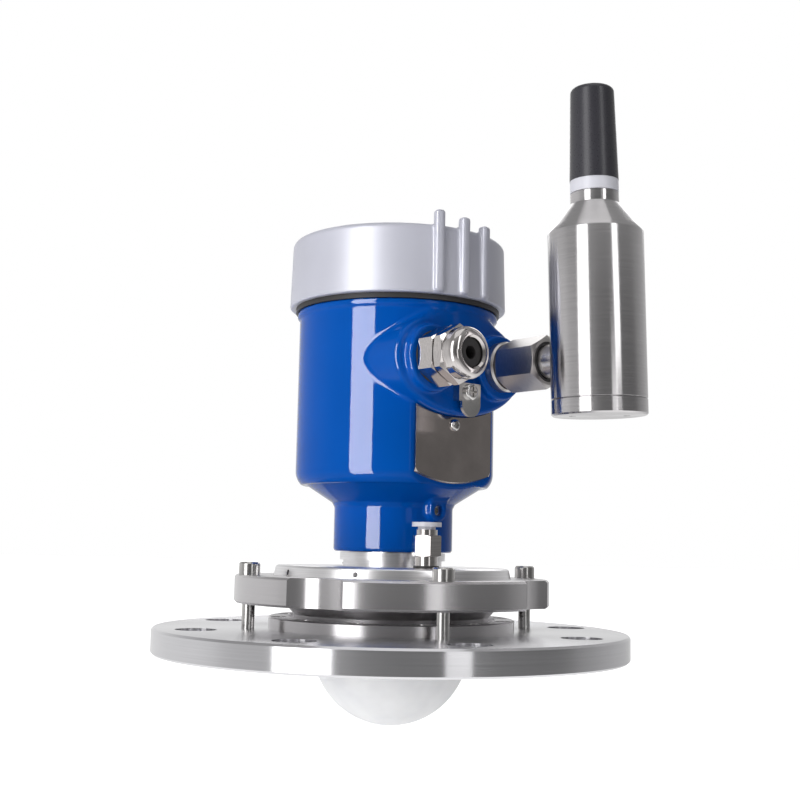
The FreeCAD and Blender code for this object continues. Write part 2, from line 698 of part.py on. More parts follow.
stub = fuse(along_stub(stub_r, flange_end, radio_u - radio_r + 2.0), [
    along_stub(nip_thread_r - 0.5, flange_u, flange_end)])
stub = stub.cut(cyl(radio_r + 0.02, -20, 20))
stub = stub.fuse(along_stub(6.5, radio_u - radio_r - 2.0, radio_u - rw + 1.0)).removeSplitter()
stub = stub.cut(along_stub(4.2, flange_u - 1, radio_u))
save("radio_stub", to_radio(stub))

# Battery, holder ring and board inside the radio unit
save("radio_battery", to_radio(fuse(cyl(13.0, 9.0, 44.0), [cyl(3.0, 44.0, 45.0)])))
holder_in = 13.0 + seat_gap
holder = tube(rw - seat_gap, holder_in, 12.0, 16.0).fuse(tube(rw - seat_gap, holder_in, 36.0, 40.0))
rail = box(-2, 2, holder_in + 0.2, rw - 1.0, 16.0, 36.0)
save("battery_holder", to_radio(holder.fuse(rail).removeSplitter()))
sheet = box(-8.0, 8.0, -0.8, 0.8, 46.0, 66.0)
save("radio_board", to_radio(fuse(sheet, [box(-5, 5, 0.8, 3.0, 49, 58), box(-4, 4, -2.4, -0.8, 50, 60)])))

# Bottom cap of the radio unit: a band as wide as the can, and a spigot with a seal
band_up = radio_low + radio_band
spigot_up = band_up + 6.5
seal_mid = band_up + 3.5
cap_r = rw - run_gap
cap_body = turned([(0, radio_low), (radio_r - 0.7, radio_low), (radio_r, radio_low + 0.7),
                   (radio_r, band_up - 0.2), (radio_r - 0.2, band_up), (cap_r, band_up),
                   (cap_r, spigot_up), (0, spigot_up)])
cap_body = cap_body.cut(tube(cap_r + 1, cap_r - 1.5, seal_mid - 0.9, seal_mid + 0.9))
cap_body = cap_body.cut(cyl(cap_r - 4.0, radio_low + 3.4, spigot_up + 1))
for x, y in circle_of(2, 12.0, 90):
    cap_body = cap_body.cut(cyl(1.5, radio_low - 1, radio_low + 2.4, x, y))
save("radio_cap", to_radio(cap_body))
save("cap_seal", to_radio(torus(cap_r - 0.78, 0.72, seal_mid)))

# Mast antenna: pale insulator band, dark radome and the rod inside
foot_top = radio_neck_top + 0.3
band = fuse(cyl(radio_neck_r, foot_top, band_top), [cyl(neck_in - run_gap, radio_neck, foot_top)])
band = band.cut(cyl(3.2, 60, band_top + 1))
save("mast_band", to_radio(band))
low_r = radio_neck_r + 0.1
mast = turned([
    (0, band_top), (low_r, band_top), (low_r, band_top + 1.5), (mast_top_r, mast_top - 2.5),
    round_to((mast_top_r, mast_top - 2.5), (mast_top_r, mast_top), (mast_top_r - 2.5, mast_top)),
    (0, mast_top)])
mast = mast.cut(cyl(mast_top_r - 3.0, band_top - 1, mast_top - 3.0))
save("mast_radome", to_radio(mast))
save("mast_rod", to_radio(cyl(3.0, radio_neck + 1.0, mast_top - 6.0)))
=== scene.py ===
import json
import math

import bmesh
import bpy
import numpy as np
from mathutils import Matrix, Vector


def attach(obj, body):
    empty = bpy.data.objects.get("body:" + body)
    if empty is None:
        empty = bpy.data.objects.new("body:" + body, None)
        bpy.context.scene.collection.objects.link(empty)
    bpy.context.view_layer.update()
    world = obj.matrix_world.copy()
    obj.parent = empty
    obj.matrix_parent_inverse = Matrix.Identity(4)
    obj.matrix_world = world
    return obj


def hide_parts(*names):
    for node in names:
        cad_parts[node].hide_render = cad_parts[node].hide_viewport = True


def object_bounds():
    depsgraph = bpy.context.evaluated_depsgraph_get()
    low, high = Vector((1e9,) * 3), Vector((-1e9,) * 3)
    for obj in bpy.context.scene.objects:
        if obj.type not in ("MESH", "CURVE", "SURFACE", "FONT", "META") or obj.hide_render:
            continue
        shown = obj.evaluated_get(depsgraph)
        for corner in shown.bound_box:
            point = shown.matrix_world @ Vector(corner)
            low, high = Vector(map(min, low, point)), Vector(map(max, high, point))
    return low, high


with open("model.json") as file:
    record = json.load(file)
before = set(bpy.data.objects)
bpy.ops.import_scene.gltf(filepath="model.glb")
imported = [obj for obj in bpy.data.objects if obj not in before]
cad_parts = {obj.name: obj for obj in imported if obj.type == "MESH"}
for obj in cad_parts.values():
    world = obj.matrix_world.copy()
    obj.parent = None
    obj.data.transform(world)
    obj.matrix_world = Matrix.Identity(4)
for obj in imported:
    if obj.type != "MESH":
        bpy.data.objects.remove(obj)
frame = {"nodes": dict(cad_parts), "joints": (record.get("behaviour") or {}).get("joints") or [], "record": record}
cad_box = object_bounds()
nodes = frame["nodes"]
joints = {j["name"]: j for j in frame["joints"]}

# Directions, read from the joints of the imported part: out of the two ports, and from port to port
port_out = Vector(joints["gland_nut_turn"]["axis"])
port_side = Vector((-port_out.y, port_out.x, 0))


# Place of a frame whose Z runs along an axis through a point, for textures that follow that axis
def along(point, axis):
    turn = Vector(axis).normalized().to_track_quat("Z", "Y")
    return Matrix.Translation(Vector(point)) @ turn.to_matrix().to_4x4()


upright = Matrix.Identity(4)
gland_place = along(joints["gland_nut_turn"]["pos_m"], port_out)
union_place = along(joints["union_nut_turn"]["pos_m"], port_out)
radio_place = along(joints["radio_swing"]["pos_m"], joints["radio_cap_turn"]["axis"])


# A node tree that is filled by short calls
class Nodes:
    def __init__(self, tree):
        self.tree = tree

    def add(self, kind, **settings):
        made = self.tree.nodes.new("ShaderNode" + kind)
        for key, value in settings.items():
            setattr(made, key, value)
        return made

    def link(self, source, target):
        self.tree.links.new(source, target)

    def math(self, operation, first, second=0):
        made = self.add("Math", operation=operation)
        for socket, value in zip(made.inputs, (first, second)):
            if isinstance(value, (int, float)):
                socket.default_value = value
            else:
                self.link(value, socket)
        return made.outputs[0]

    # Map the values from from_low to from_high onto low to high. A noise mostly lies between 0.25 and 0.75
    def span(self, value, low, high, from_low=0.25, from_high=0.75):
        made = self.add("MapRange")
        made.inputs["From Min"].default_value = from_low
        made.inputs["From Max"].default_value = from_high
        made.inputs["To Min"].default_value = low
        made.inputs["To Max"].default_value = high
        self.link(value, made.inputs["Value"])
        return made.outputs["Result"]


# Fine lines that a lathe leaves, in metres: from line to line, their depth, and how far the pattern follows a turn.
# Then the scale of their noise, and the shares of lines and of wear in colour and roughness
line_pitch = 0.00012
line_depth = line_pitch * 0.2
line_swirl = 0.0004
line_scale = 0.35 / line_pitch
line_share, wear_share = 0.7, 0.3


# One material: a principled shader and the nodes that feed it
class Look(Nodes):
    def __init__(self, name):
        self.material = bpy.data.materials.new(name)
        self.material.use_nodes = True
        super().__init__(self.material.node_tree)
        self.shader = self.tree.nodes["Principled BSDF"]

    # Values that are the same all over the surface
    def put(self, **values):
        for key, value in values.items():
            name = key.replace("_", " ").replace("Ior", "IOR")
            self.shader.inputs[name].default_value = value

    # Coordinates in metres in the part's own frame, seen from a place such as an axis
    def coordinates(self, place):
        own = self.add("TexCoord").outputs["Object"]
        if place == upright:
            return own
        back = place.inverted()
        moved = self.add("Mapping")
        moved.inputs["Location"].default_value = back.to_translation()
        moved.inputs["Rotation"].default_value = back.to_euler()
        self.link(own, moved.inputs["Vector"])
        return moved.outputs["Vector"]

    # Coordinates that run round the axis: radius, a little angle, and height
    def round_axis(self, place):
        parts = self.add("SeparateXYZ")
        self.link(self.coordinates(place), parts.inputs[0])
        x, y, z = parts.outputs
        squares = self.math("ADD", self.math("MULTIPLY", x, x), self.math("MULTIPLY", y, y))
        joined = self.add("CombineXYZ")
        self.link(self.math("SQRT", squares), joined.inputs[0])
        self.link(self.math("MULTIPLY", self.math("ARCTAN2", y, x), line_swirl), joined.inputs[1])
        self.link(z, joined.inputs[2])
        return joined.outputs[0]

    def noise(self, vector, scale, detail):
        made = self.add("TexNoise")
        made.inputs["Scale"].default_value = scale
        made.inputs["Detail"].default_value = detail
        self.link(vector, made.inputs["Vector"])
        return made.outputs["Fac"]

    # Colour that goes from a darker to a brighter tone
    def tones(self, value, colour, darker, brighter, from_low=0.25, from_high=0.75):
        made = self.add("Mix", data_type="RGBA")
        made.inputs["A"].default_value = (*(c * darker for c in colour), 1)
        made.inputs["B"].default_value = (*(min(1.0, c * brighter) for c in colour), 1)
        self.link(self.span(value, 0, 1, from_low, from_high), made.inputs["Factor"])
        self.link(made.outputs["Result"], self.shader.inputs["Base Color"])

    # Roughness that varies a little; a turned face that looks up or down can be rougher than the round walls
    def roughness(self, value, rough, spread, face_rough=None):
        uneven = self.span(value, rough - spread, rough + spread)
        if face_rough:
            facing = self.add("SeparateXYZ")
            self.link(self.add("TexCoord").outputs["Normal"], facing.inputs[0])
            flat = self.span(self.math("ABSOLUTE", facing.outputs[2]), 0, face_rough - rough, 0.6, 0.95)
            uneven = self.math("ADD", uneven, flat)
        self.link(uneven, self.shader.inputs["Roughness"])

    # Stretch highlights across the turning lines round an axis, as fine lines of a lathe do
    def brushed_round(self, place, amount):
        self.put(Anisotropic=amount, Anisotropic_Rotation=0.25)
        if place == upright:
            around = self.add("Tangent", direction_type="RADIAL", axis="Z").outputs[0]
        else:
            arm = self.add("VectorMath", operation="SUBTRACT")
            self.link(self.add("TexCoord").outputs["Object"], arm.inputs[0])
            arm.inputs[1].default_value = place.to_translation()
            cross = self.add("VectorMath", operation="CROSS_PRODUCT")
            cross.inputs[0].default_value = place.to_3x3() @ Vector((0, 0, 1))
            self.link(arm.outputs[0], cross.inputs[1])
            turned = self.add("VectorTransform", vector_type="VECTOR", convert_from="OBJECT", convert_to="WORLD")
            self.link(cross.outputs[0], turned.inputs[0])
            around = turned.outputs[0]
        self.link(around, self.shader.inputs["Tangent"])

    def bump(self, height, strength, distance):
        made = self.add("Bump")
        made.inputs["Strength"].default_value = strength
        made.inputs["Distance"].default_value = distance
        self.link(height, made.inputs["Height"])
        self.link(made.outputs["Normal"], self.shader.inputs["Normal"])


looks = {}


# Steel turned on a lathe: fine lines round the axis, with slow blotches of wear. brushed is the stretch of highlights,
# and contrast the strength of the blotches
def turned_steel(name, colour, rough, place=upright, strength=0.25, spread=0.03, brushed=0.92, face_rough=None,
                 contrast=1.0):
    look = Look(name)
    look.put(Metallic=1.0)
    look.brushed_round(place, brushed)
    lines = look.noise(look.round_axis(place), scale=line_scale, detail=3.0)
    wear = look.noise(look.coordinates(place), scale=60.0, detail=3.0)
    both = look.math("ADD", look.math("MULTIPLY", lines, line_share), look.math("MULTIPLY", wear, wear_share))
    look.tones(both, colour, darker=1 - 0.12 * contrast, brighter=1 + 0.08 * contrast, from_low=0.35, from_high=0.65)
    look.roughness(both, rough, spread, face_rough)
    look.bump(lines, strength, line_depth)
    looks[name] = look.material


# Paint on a casting, under a clear coat or without one. gleam is the mirroring of the paint itself, and waves the
# depth of a long unevenness
def painted(name, colour, rough, coat=0.0, gleam=0.5, metallic=0.0, waves=0.0):
    look = Look(name)
    look.put(Metallic=metallic, Coat_Weight=coat, Coat_Roughness=0.05, Coat_Ior=1.2, Specular_Ior_Level=gleam)
    own = look.coordinates(upright)
    look.tones(look.noise(own, scale=25.0, detail=2.0), colour, darker=0.94, brighter=1.05)
    look.roughness(look.noise(own, scale=2500.0, detail=1.0), rough, spread=0.03)
    look.bump(look.noise(own, scale=160.0, detail=2.0), strength=0.2, distance=waves)
    looks[name] = look.material


# Moulded plastic or rubber: even colour with a fine grain, translucent where soft is above 0
def moulded(name, colour, rough, soft=0.0):
    look = Look(name)
    if soft:
        look.put(Subsurface_Weight=soft, Subsurface_Scale=0.004, Subsurface_Radius=(1.0, 0.95, 0.9))
    own = look.coordinates(upright)
    grain = look.noise(own, scale=1800.0, detail=3.0)
    look.tones(look.noise(own, scale=70.0, detail=2.0), colour, darker=0.92, brighter=1.06)
    look.roughness(grain, rough, spread=0.05)
    look.bump(grain, strength=0.3, distance=0.00004)
    looks[name] = look.material


# Bare metal with no turning lines: pressed, plated or milled, with scratches of a given depth
def plain_metal(name, colour, rough, scratches=0.00003):
    look = Look(name)
    look.put(Metallic=1.0)
    own = look.coordinates(upright)
    fine = look.noise(own, scale=1500.0, detail=4.0)
    look.tones(look.noise(own, scale=90.0, detail=3.0), colour, darker=0.88, brighter=1.08)
    look.roughness(fine, rough, spread=0.06)
    look.bump(fine, strength=0.25, distance=scratches)
    looks[name] = look.material


# One look for each material slot of the record: name, colour and roughness, then what sets it apart
turned_steel("flange_steel", (0.70, 0.695, 0.715), 0.17, strength=0.05, spread=0.012, face_rough=0.25, contrast=0.35)
turned_steel("ring_steel", (0.61, 0.595, 0.605), 0.25, strength=0.05, spread=0.012, face_rough=0.33, contrast=0.35,
             brushed=0.82)
turned_steel("ball_steel", (0.88, 0.87, 0.88), 0.3, strength=0.04, spread=0.02, brushed=0.4)
turned_steel("nickel", (0.60, 0.57, 0.56), 0.11, gland_place, strength=0.03, brushed=0.0)
turned_steel("union_steel", (0.52, 0.50, 0.49), 0.3, union_place, strength=0.05, brushed=0.0)
turned_steel("radio_steel", (0.595, 0.58, 0.587), 0.2, radio_place, strength=0.05, spread=0.02, contrast=0.6)
turned_steel("horn_metal", (0.75, 0.75, 0.76), 0.3)
painted("housing_blue", (0.0, 0.074, 0.375), 0.5, coat=1.0, gleam=0.0, waves=0.00002)
painted("cover_grey", (0.475, 0.48, 0.548), 0.37, gleam=0.4, metallic=0.04)
plain_metal("bolt_steel", (0.55, 0.54, 0.53), 0.18)
plain_metal("screw_steel", (0.60, 0.59, 0.58), 0.2)
plain_metal("plate_metal", (0.50, 0.45, 0.43), 0.12, scratches=0.00001)
moulded("lens_white", (0.92, 0.925, 0.95), 0.42, soft=0.3)
moulded("plastic_white", (0.68, 0.68, 0.74), 0.38, soft=0.15)
moulded("liner_white", (0.70, 0.70, 0.68), 0.5)
moulded("seal_rubber", (0.032, 0.03, 0.03), 0.5)
moulded("radome_dark", (0.034, 0.033, 0.041), 0.3)
moulded("plastic_black", (0.02, 0.02, 0.022), 0.45)
moulded("battery_wrap", (0.02, 0.03, 0.12), 0.3)
moulded("board_green", (0.02, 0.12, 0.05), 0.4)


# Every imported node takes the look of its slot, welded and with smooth walls between sharp edges
slot_of = {row["node"]: row["material_slot"] for row in frame["record"]["subparts"]}
sharp_turn = math.radians(28)
weld_reach = 0.000002
for name, node in nodes.items():
    node.data.materials.clear()
    node.data.materials.append(looks[slot_of[name]])
    weld = node.modifiers.new("weld", "WELD")
    weld.merge_threshold = weld_reach
    split = node.modifiers.new("split", "EDGE_SPLIT")
    split.split_angle = sharp_turn
    node.data.polygons.foreach_set("use_smooth", [True] * len(node.data.polygons))


# The ball tilts inside the clamp ring: its round wall, all that lies farther out than ball_wall_r, is drawn in to that
# radius, so that flat facets keep clear of the ring
ball = nodes["swivel_ball"]
ball_middle = Vector(joints["ball_tilt"]["pos_m"])
ball_wall_r = 0.0584
tilt_centre = bpy.data.objects.new("tilt_centre", None)
tilt_centre.location = ball_middle
bpy.context.scene.collection.objects.link(tilt_centre)
wall = ball.vertex_groups.new(name="round_wall")
far_out = [v.index for v in ball.data.vertices if (ball.matrix_world @ v.co - ball_middle).length > ball_wall_r]
wall.add(far_out, 1.0, "REPLACE")
drawn = ball.modifiers.new("drawn_in", "CAST")
drawn.cast_type, drawn.factor, drawn.size = "SPHERE", 1.0, ball_wall_r
drawn.use_radius_as_size, drawn.object, drawn.vertex_group = False, tilt_centre, wall.name


# Distance of a closed outline in radius and height, in millimetres. It is below zero inside, as in all forms below
def outline_distance(points, r, z):
    best = np.full(r.shape, 1e9, np.float32)
    inside = np.zeros(r.shape, bool)
    for (r0, z0), (r1, z1) in zip(points, points[1:] + points[:1]):
        er, ez = r1 - r0, z1 - z0
        t = np.clip(((r - r0) * er + (z - z0) * ez) / max(er * er + ez * ez, 1e-9), 0, 1)
        best = np.minimum(best, (r - r0 - er * t) ** 2 + (z - z0 - ez * t) ** 2)
        if abs(ez) > 1e-9:
            crosses = (z0 > z) != (z1 > z)
            inside ^= crosses & (r < r0 + er * (z - z0) / ez)
    return np.where(inside, -1, 1) * np.sqrt(best)


# Points of an arc in such an outline, with its ends in degrees
def arc(centre_r, centre_z, radius, start, stop, steps=8):
    turns = [math.radians(start + (stop - start) * i / steps) for i in range(steps + 1)]
    return [(centre_r + radius * math.cos(a), centre_z + radius * math.sin(a)) for a in turns]


# Two forms made one, with a fillet between them
def joined(a, b, fillet):
    u = np.maximum(fillet - a, 0)
    v = np.maximum(fillet - b, 0)
    return np.maximum(fillet, np.minimum(a, b)) - np.sqrt(u * u + v * v)


# What two forms have in common, with rounded edges
def kept_in(a, b, rounding):
    u = np.maximum(rounding + a, 0)
    v = np.maximum(rounding + b, 0)
    return np.minimum(-rounding, np.maximum(a, b)) + np.sqrt(u * u + v * v)


# Block with rounded edges and given half sizes, from its middle
def block_distance(x, y, z, half, rounding):
    q = [np.abs(c) - (h - rounding) for c, h in zip((x, y, z), half)]
    outer = np.sqrt(sum(np.maximum(c, 0) ** 2 for c in q))
    return outer + np.minimum(np.maximum(np.maximum(q[0], q[1]), q[2]), 0) - rounding


mm_per_m = 1000

# Moves that settle the points of a skin on its surface, in millimetres
settle_moves, slope_step, least_slope, longest_move = 4, 0.02, 0.2, 0.6


# Skin of a form on a grid of radius, angle and height: one vertex in each crossed cell, settled on the surface
def skin_mesh(distance, radii, turns, heights):
    turn_grid = np.linspace(0, 2 * math.pi, turns + 1)
    r, a, z = np.meshgrid(radii, turn_grid[:-1], heights, indexing="ij")
    value = distance(r * np.cos(a), r * np.sin(a), z).astype(np.float32)
    value = np.concatenate([value, value[:, :1]], 1)
    inside = value < 0
    n = [s - 1 for s in value.shape]
    corner = [(i, j, k) for i in (0, 1) for j in (0, 1) for k in (0, 1)]

    def shifted(grid, c):
        return grid[c[0]:c[0] + n[0], c[1]:c[1] + n[1], c[2]:c[2] + n[2]]

    count = sum(shifted(inside, c).astype(np.int8) for c in corner)
    cells = np.argwhere((count > 0) & (count < 8))
    index = np.full(n, -1, np.int64)
    index[tuple(cells.T)] = np.arange(len(cells))
    total = np.zeros((len(cells), 3))
    hits = np.zeros(len(cells))
    for c0 in corner:
        for axis in range(3):
            if c0[axis]:
                continue
            c1 = tuple(v + (i == axis) for i, v in enumerate(c0))
            v0 = value[tuple((cells + c0).T)]
            v1 = value[tuple((cells + c1).T)]
            crossed = (v0 < 0) != (v1 < 0)
            t = np.where(crossed, v0 / np.where(crossed, v0 - v1, 1), 0)
            place = np.array(c0) + t[:, None] * (np.arange(3) == axis)
            total += place * crossed[:, None]
            hits += crossed
    spot = cells + total / hits[:, None]

    def sample(grid, at):
        low = np.clip(at.astype(int), 0, len(grid) - 2)
        return grid[low] + (grid[low + 1] - grid[low]) * (at - low)

    radius = sample(np.asarray(radii, float), spot[:, 0])
    angle = sample(turn_grid, spot[:, 1])
    height = sample(np.asarray(heights, float), spot[:, 2])
    points = np.stack([radius * np.cos(angle), radius * np.sin(angle), height], 1)
    for _ in range(settle_moves):
        here = distance(*points.T)
        rises = []
        for axis in range(3):
            shift = slope_step * (np.arange(3) == axis)
            rises.append(distance(*(points + shift).T) - distance(*(points - shift).T))
        slope = np.stack(rises, 1) / (2 * slope_step)
        steep = np.maximum(np.sum(slope * slope, 1), least_slope)
        points -= slope * np.clip(here / steep, -longest_move, longest_move)[:, None]
    # One face across each grid edge that the surface crosses. The last line of angles is the first one again
    faces = []
    for axis in range(3):
        b, c = (axis + 1) % 3, (axis + 2) % 3
        first = [slice(None)] * 3
        last = [slice(None)] * 3
        first[axis], last[axis] = slice(0, -1), slice(1, None)
        change = inside[tuple(first)] != inside[tuple(last)]
        edges = np.argwhere(change)
        leaving = inside[tuple(first)][tuple(edges.T)]
        around = []
        good = np.ones(len(edges), bool)
        for db, dc in ((1, 1), (0, 1), (0, 0), (1, 0)):
            cell = edges.copy()
            cell[:, b] -= db
            cell[:, c] -= dc
            cell[:, 1] %= turns
            ok = np.all((cell >= 0) & (cell < n), 1)
            good &= ok
            around.append(index[tuple(np.clip(cell, 0, np.array(n) - 1).T)])
        if axis != 1:
            good &= edges[:, 1] < turns
        quad = np.stack(around, 1)[good]
        leaving = leaving[good]
        quad[~leaving] = quad[~leaving][:, ::-1]
        faces.append(quad)
    return points, np.concatenate(faces)


# Mesh from points in millimetres. A form that crosses the axis leaves a small hole there, which is filled
def mesh_object(name, points, faces):
    mesh = bpy.data.meshes.new(name)
    mesh.vertices.add(len(points))
    mesh.vertices.foreach_set("co", (points / mm_per_m).ravel())
    mesh.loops.add(faces.size)
    mesh.loops.foreach_set("vertex_index", faces.ravel().astype(np.int32))
    mesh.polygons.add(len(faces))
    mesh.polygons.foreach_set("loop_start", np.arange(0, faces.size, 4, dtype=np.int32))
    mesh.update()
    mesh.validate()
    made = bpy.data.objects.new(name, mesh)
    bpy.context.scene.collection.objects.link(made)
    bm = bmesh.new()
    bm.from_mesh(mesh)
    rim = [e for e in bm.edges if e.is_boundary]
    if rim:
        bmesh.ops.holes_fill(bm, edges=rim, sides=0)
    bmesh.ops.recalc_face_normals(bm, faces=bm.faces)
    bm.to_mesh(mesh)
    bm.free()
    mesh.polygons.foreach_set("use_smooth", [True] * len(mesh.polygons))
    return made


# Housing casting, in millimetres: an outline turned about the axis, a flat side, an oval nose with two collars, and a
# lug for the lock screw. u runs out of the ports and v from port to port. A _root is the u where a form begins
neck_low, neck_r, barrel_r, brim_r, spigot_r, spigot_top = 48.95, 28.95, 48.4, 49.6, 46.6, 181.0
cone_round_r, cone_round_z, cone_round = 39.2, 87.1, 9.2
shell_outline = (
    [(0, neck_low), (28.15, neck_low), (neck_r, 49.75), (neck_r, 70.0), (30.15, 72.3), (43.2, 80.6)]
    + arc(cone_round_r, cone_round_z, cone_round, -48, 0)
    + [(barrel_r, 161.5), (brim_r, 162.9), (brim_r, 164.9), (49.2, 165.3), (spigot_r, 165.3), (spigot_r, 180.0),
       (45.6, spigot_top), (0, spigot_top)])
neck_bore, wire_bore, room_r = 21.06, 14.0, 43.4
room_outline = [(0, 40), (neck_bore, 40), (neck_bore, 75.5), (wire_bore, 75.5), (wire_bore, 90.0), (room_r, 90.0),
                (room_r, 190), (0, 190)]
room_flat_u, room_flat_low, room_flat_high, far_inside = 37.2, 80, 154.5, -50
port_z, port_v, port_bore, port_root = 137.3, 21.6, 10.0, 25.0
nose_half, nose_high, nose_front, nose_edge, nose_root = 41.1, 24.5, 47.0, 2.6, 20.0
collar_r, collar_front, collar_edge, collar_fillet, collar_root = 15.5, 51.5, 1.2, 1.5, 30.0
lug_z, lug_half, lug_high, lug_front, lug_edge, lug_fillet, lug_root = 68.7, 5.2, 9.0, 32.6, 1.0, 2.0, 20.0
lock_hole_r, lock_hole_root = 2.6, 15.0
flat_u, flat_drop, flat_half, flat_corner, flat_edge = 41.0, 40.0, (15.0, 30.0, 35.0), 0.01, 0.7
mouth_edge = 0.25

# The nose's fillet is thin at its ends and over the flat side, and grows towards its middle
end_fillet, more_fillet, flat_fillet = 1.2, 3.3, 0.5
fillet_end_v, fillet_fade_v = 34.0, 14.0
flat_end_v, flat_fade_v, flat_fade_w = 29.0, 4.0, 6.0


# Round or oval form along u, cut off at its front with a rounded edge
def boss(ring, u, front, edge, root):
    return np.maximum(kept_in(ring, u - front, edge), root - u)


def fade(value, width):
    return np.clip(value / width, 0, 1)


def housing_form(x, y, z):
    r = np.hypot(x, y)
    u = x * port_out.x + y * port_out.y
    v = x * port_side.x + y * port_side.y
    w = z - port_z
    form = outline_distance(shell_outline, r, z)
    flat = block_distance(u - (flat_u + flat_half[0]), v, w + flat_drop, flat_half, flat_corner)
    form = kept_in(form, -flat, flat_edge)
    ring = np.hypot(v / nose_half, w / nose_high)
    oval = ring * (ring - 1) / np.maximum(np.hypot(v / nose_half ** 2, w / nose_high ** 2), 1e-6)
    over_flat = fade(flat_end_v - np.abs(v), flat_fade_v) * fade(-w, flat_fade_w)
    fillet = end_fillet + more_fillet * fade(fillet_end_v - np.abs(v), fillet_fade_v)
    fillet = fillet - (fillet - flat_fillet) * over_flat
    form = joined(form, boss(oval, u, nose_front, nose_edge, nose_root), fillet)
    for side in (-port_v, port_v):
        collar = np.hypot(v - side, w) - collar_r
        form = joined(form, boss(collar, u, collar_front, collar_edge, collar_root), collar_fillet)
    lug_w = z - lug_z
    lug = np.maximum(np.hypot(v, np.minimum(lug_w, 0)) - lug_half, lug_w - lug_high)
    form = joined(form, boss(lug, u, lug_front, lug_edge, lug_root), lug_fillet)
    room = outline_distance(room_outline, r, z)
    beside_flat = (z > room_flat_low) & (z < room_flat_high)
    room = np.maximum(room, np.where(beside_flat, u - room_flat_u, far_inside))
    for side in (-port_v, port_v):
        room = np.minimum(room, np.maximum(np.hypot(v - side, w) - port_bore, port_root - u))
    room = np.minimum(room, np.maximum(np.hypot(v, lug_w) - lock_hole_r, lock_hole_root - u))
    return kept_in(form, -room, mouth_edge)


# Cover, in millimetres: a cup with a rounded rim and two groups of three grip ribs of different height
cover_low, cover_top, cup_r, cup_round = 167.7, 200.5, 52.7, 3.0
cup_outline = ([(0, cover_low), (53.0, cover_low), (53.5, cover_low + 0.5), (cup_r, cover_top - cup_round)]
               + arc(cup_r - cup_round, cover_top - cup_round, cup_round, 0, 90) + [(0, cover_top)])
bore_r, bore_outline_top = 46.66, 195.5
bore_outline = [(0, 160), (bore_r, 160), (bore_r, 183.0), (44.0, bore_outline_top), (0, bore_outline_top)]
rib_turn, rib_step, rib_low, rib_rises = 34.5, 14.5, 168.3, (6.4, 4.6, 2.8)
rib_out, rib_half, rib_edge, rib_fillet = 53.2, 2.4, 1.6, 1.0


def cover_form(x, y, z):
    r = np.hypot(x, y)
    form = outline_distance(cup_outline, r, z)
    for side in (0, 180):
        for step, rise in zip((-1, 0, 1), rib_rises):
            turn = math.radians(rib_turn + step * rib_step + side)
            out = x * math.sin(turn) - y * math.cos(turn)
            across = x * math.cos(turn) + y * math.sin(turn)
            top = cover_top + rise
            half = (rib_half, rib_half, (top - rib_low) / 2)
            rib = block_distance(out - rib_out, across, z - (rib_low + top) / 2, half, rib_edge)
            form = joined(form, rib, rib_fillet)
    return np.maximum(form, -outline_distance(bore_outline, r, z))


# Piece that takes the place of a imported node. Its grid has radii, the number of steps in a turn, and heights
def skin_piece(name, form, grid, node, body):
    points, faces = skin_mesh(form, *grid)
    piece = mesh_object(name, points, faces)
    piece.data.materials.append(looks[slot_of[node]])
    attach(piece, body)
    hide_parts(node)
    return piece


housing_grid = (np.arange(13.0, 67.0, 0.9), 400, np.arange(48.2, 182.0, 0.8))
cover_grid = (np.arange(0.6, 58, 0.8), 440, np.arange(167.3, 208.2, 0.7))
housing_skin = skin_piece("housing_casting", housing_form, housing_grid, "housing", "housing")
cover_skin = skin_piece("cover_casting", cover_form, cover_grid, "cover", "cover")


# Floor and backdrop in one: plain and pale
floor_drop, floor_half = 0.10, 12.0
level = cad_box[0].z - floor_drop
corners = [(x * floor_half, y * floor_half, level) for x, y in ((-1, -1), (1, -1), (1, 1), (-1, 1))]
floor_mesh = bpy.data.meshes.new("floor")
floor_mesh.from_pydata(corners, [], [(0, 1, 2, 3)])
floor = bpy.data.objects.new("floor", floor_mesh)
bpy.context.scene.collection.objects.link(floor)
floor_look = Look("floor_pale")
floor_look.put(Base_Color=(0.85, 0.85, 0.85, 1), Roughness=0.7, Emission_Color=(1, 1, 1, 1), Emission_Strength=0.9)
floor_mesh.materials.append(floor_look.material)
floor.visible_diffuse = False
floor.visible_glossy = False


# Softboxes stand upright round the object and face its axis. Each is a few lights in one place: one for diffuse
# light, one that only mirrors show, and stronger ones that a single painted casting mirrors
middle = Vector((0, 0, 0.12))
light_gap = 0.02


def softbox(name, azimuth, distance, size, lift, radiance, shine, gloss=(), tilt=0.0):
    a, t = math.radians(azimuth), math.radians(tilt)
    flat = Vector((math.sin(a), -math.cos(a), 0))
    away = flat * math.cos(t) + Vector((0, 0, math.sin(t)))
    parts = [("", radiance, None), ("_shine", shine, None)]
    parts += [("_gloss_" + skin.name, strength, skin) for skin, strength in gloss]
    for step, (suffix, strength, skin) in enumerate(parts):
        data = bpy.data.lights.new(name + suffix, "AREA")
        data.shape = "RECTANGLE"
        data.size, data.size_y = size
        data.energy = math.pi * size[0] * size[1] * strength
        light = bpy.data.objects.new(name + suffix, data)
        light.location = middle + away * (distance - light_gap * step) + Vector((0, 0, lift))
        light.rotation_euler = away.to_track_quat("Z", "Y").to_euler()
        light.visible_camera = False
        light.visible_diffuse = step == 0
        light.visible_glossy = step > 0
        if skin:
            lit = bpy.data.collections.new("lit_" + skin.name)
            lit.objects.link(skin)
            light.light_linking.receiver_collection = lit
        bpy.context.scene.collection.objects.link(light)


